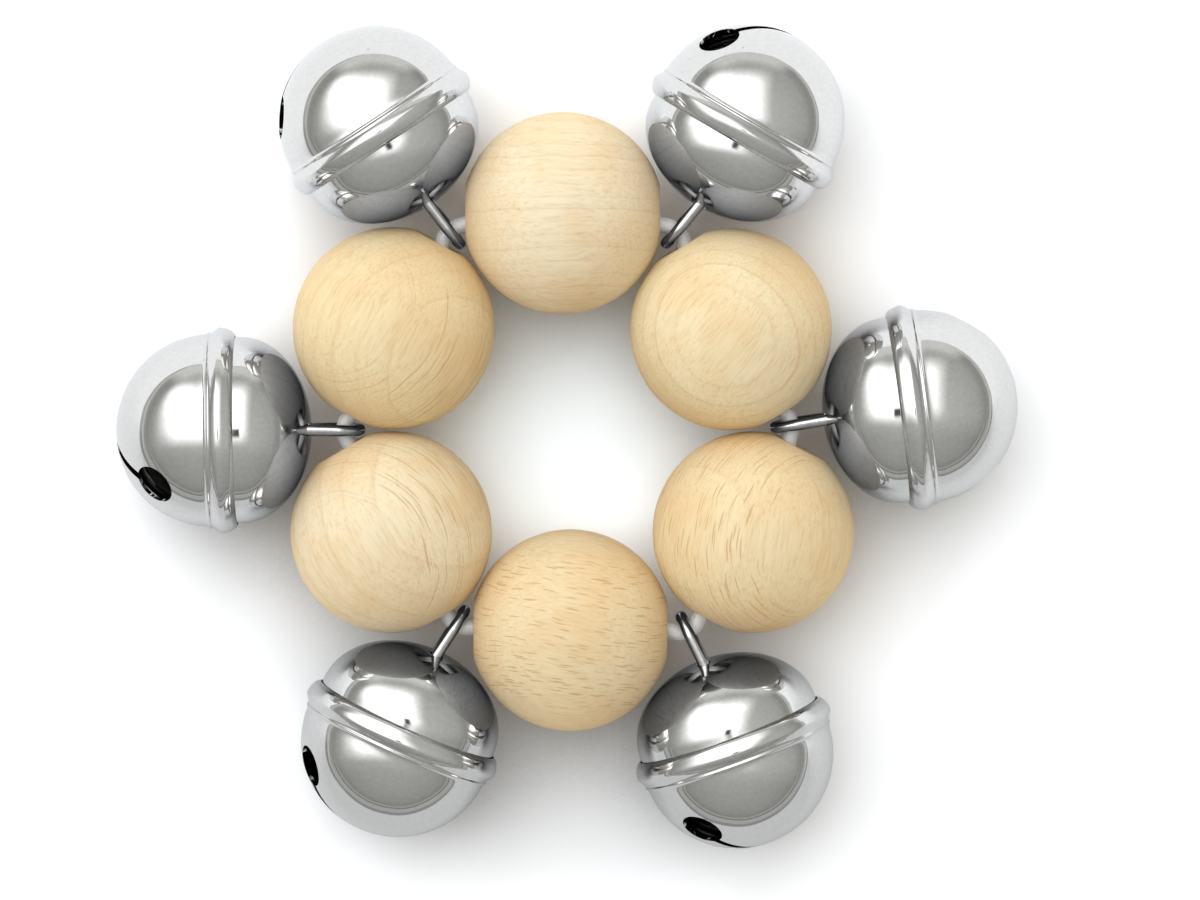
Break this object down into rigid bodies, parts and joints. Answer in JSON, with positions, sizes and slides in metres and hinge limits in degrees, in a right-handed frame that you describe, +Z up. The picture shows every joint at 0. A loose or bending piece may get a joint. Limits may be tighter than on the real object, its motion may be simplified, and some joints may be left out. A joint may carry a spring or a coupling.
{
  "type": "wrist bells",
  "caption": "Wrist bells: a ring of turned beech beads on an elastic cord, with a round crotal bell on a wire loop in each gap between beads.",
  "frame": {"origin": "on the table, at the middle of the ring of bells", "axes": "+Z up from the table the ring lies on; +X to the right and +Y away, as seen from above in the picture"},
  "size_m": [0.133, 0.1221, 0.0304],
  "materials": {
    "beech": "satin, fine sanded",
    "nickel": "polished nickel plate",
    "pellet_steel": "dull, tumbled",
    "elastic": "white covered elastic, satin"
  },
  "bodies": {
    "cord": {"elastic_cord": "elastic"},
    "bead_1": {"bead_1": "beech"},
    "bead_2": {"bead_2": "beech"},
    "bead_3": {"bead_3": "beech"},
    "bead_4": {"bead_4": "beech"},
    "bead_5": {"bead_5": "beech"},
    "bead_6": {"bead_6": "beech"},
    "bell_1": {"bell_1_slotted_shell": "nickel", "bell_1_loop_shell": "nickel", "bell_1_wire_loop": "nickel"},
    "bell_1_pellet": {"bell_1_pellet": "pellet_steel"},
    "bell_2": {"bell_2_slotted_shell": "nickel", "bell_2_loop_shell": "nickel", "bell_2_wire_loop": "nickel"},
    "bell_2_pellet": {"bell_2_pellet": "pellet_steel"},
    "bell_3": {"bell_3_slotted_shell": "nickel", "bell_3_loop_shell": "nickel", "bell_3_wire_loop": "nickel"},
    "bell_3_pellet": {"bell_3_pellet": "pellet_steel"},
    "bell_4": {"bell_4_slotted_shell": "nickel", "bell_4_loop_shell": "nickel", "bell_4_wire_loop": "nickel"},
    "bell_4_pellet": {"bell_4_pellet": "pellet_steel"},
    "bell_5": {"bell_5_slotted_shell": "nickel", "bell_5_loop_shell": "nickel", "bell_5_wire_loop": "nickel"},
    "bell_5_pellet": {"bell_5_pellet": "pellet_steel"},
    "bell_6": {"bell_6_slotted_shell": "nickel", "bell_6_loop_shell": "nickel", "bell_6_wire_loop": "nickel"},
    "bell_6_pellet": {"bell_6_pellet": "pellet_steel"}
  },
  "joints": [
    {"name": "bead_1_spin", "type": "hinge", "parent": "cord", "child": "bead_1", "pos_m": [-0.0006, 0.03312, 0.0152], "axis": [1, -0.0036, 0], "continuous": true},
    {"name": "bead_2_spin", "type": "hinge", "parent": "cord", "child": "bead_2", "pos_m": [0.02424, 0.01594, 0.0152], "axis": [0.5125, -0.8587, 0], "continuous": true},
    {"name": "bead_3_spin", "type": "hinge", "parent": "cord", "child": "bead_3", "pos_m": [0.02757, -0.01408, 0.0152], "axis": [-0.4651, -0.8853, 0], "continuous": true},
    {"name": "bead_4_spin", "type": "hinge", "parent": "cord", "child": "bead_4", "pos_m": [0.00052, -0.0286, 0.0152], "axis": [-1, 0.0045, 0], "continuous": true},
    {"name": "bead_5_spin", "type": "hinge", "parent": "cord", "child": "bead_5", "pos_m": [-0.02595, -0.01408, 0.0152], "axis": [-0.5038, 0.8638, 0], "continuous": true},
    {"name": "bead_6_spin", "type": "hinge", "parent": "cord", "child": "bead_6", "pos_m": [-0.02556, 0.01612, 0.0152], "axis": [0.4733, 0.8809, 0], "continuous": true},
    {"name": "bell_1_swing", "type": "hinge", "parent": "cord", "child": "bell_1", "pos_m": [0.01611, 0.03039, 0.0152], "axis": [0.7697, -0.6384, 0], "range_deg": [-21, 21]},
    {"name": "bell_1_rattle", "type": "slide", "parent": "bell_1", "child": "bell_1_pellet", "axis": [0, 0, 1], "range_m": [0, 0.0177]},
    {"name": "bell_2_swing", "type": "hinge", "parent": "cord", "child": "bell_2", "pos_m": [0.03301, 0.00184, 0.0152], "axis": [0.1621, -0.9868, 0], "range_deg": [-21, 21]},
    {"name": "bell_2_rattle", "type": "slide", "parent": "bell_2", "child": "bell_2_pellet", "axis": [0, 0, 1], "range_m": [0, 0.0177]},
    {"name": "bell_3_swing", "type": "hinge", "parent": "cord", "child": "bell_3", "pos_m": [0.01789, -0.02866, 0.0152], "axis": [-0.8969, -0.4422, 0], "range_deg": [-25, 25]},
    {"name": "bell_3_rattle", "type": "slide", "parent": "bell_3", "child": "bell_3_pellet", "axis": [0, 0, 1], "range_m": [0, 0.0177]},
    {"name": "bell_4_swing", "type": "hinge", "parent": "cord", "child": "bell_4", "pos_m": [-0.01635, -0.02763, 0.0152], "axis": [-0.841, 0.5411, 0], "range_deg": [-19, 19]},
    {"name": "bell_4_rattle", "type": "slide", "parent": "bell_4", "child": "bell_4_pellet", "axis": [0, 0, 1], "range_m": [0, 0.0177]},
    {"name": "bell_5_swing", "type": "hinge", "parent": "cord", "child": "bell_5", "pos_m": [-0.03283, 0.00112, 0.0152], "axis": [0.013, 0.9999, 0], "range_deg": [-21, 21]},
    {"name": "bell_5_rattle", "type": "slide", "parent": "bell_5", "child": "bell_5_pellet", "axis": [0, 0, 1], "range_m": [0, 0.0177]},
    {"name": "bell_6_swing", "type": "hinge", "parent": "cord", "child": "bell_6", "pos_m": [-0.01715, 0.03039, 0.0152], "axis": [0.796, 0.6054, 0], "range_deg": [-27, 27]},
    {"name": "bell_6_rattle", "type": "slide", "parent": "bell_6", "child": "bell_6_pellet", "axis": [0, 0, 1], "range_m": [0, 0.0177]}
  ]
}
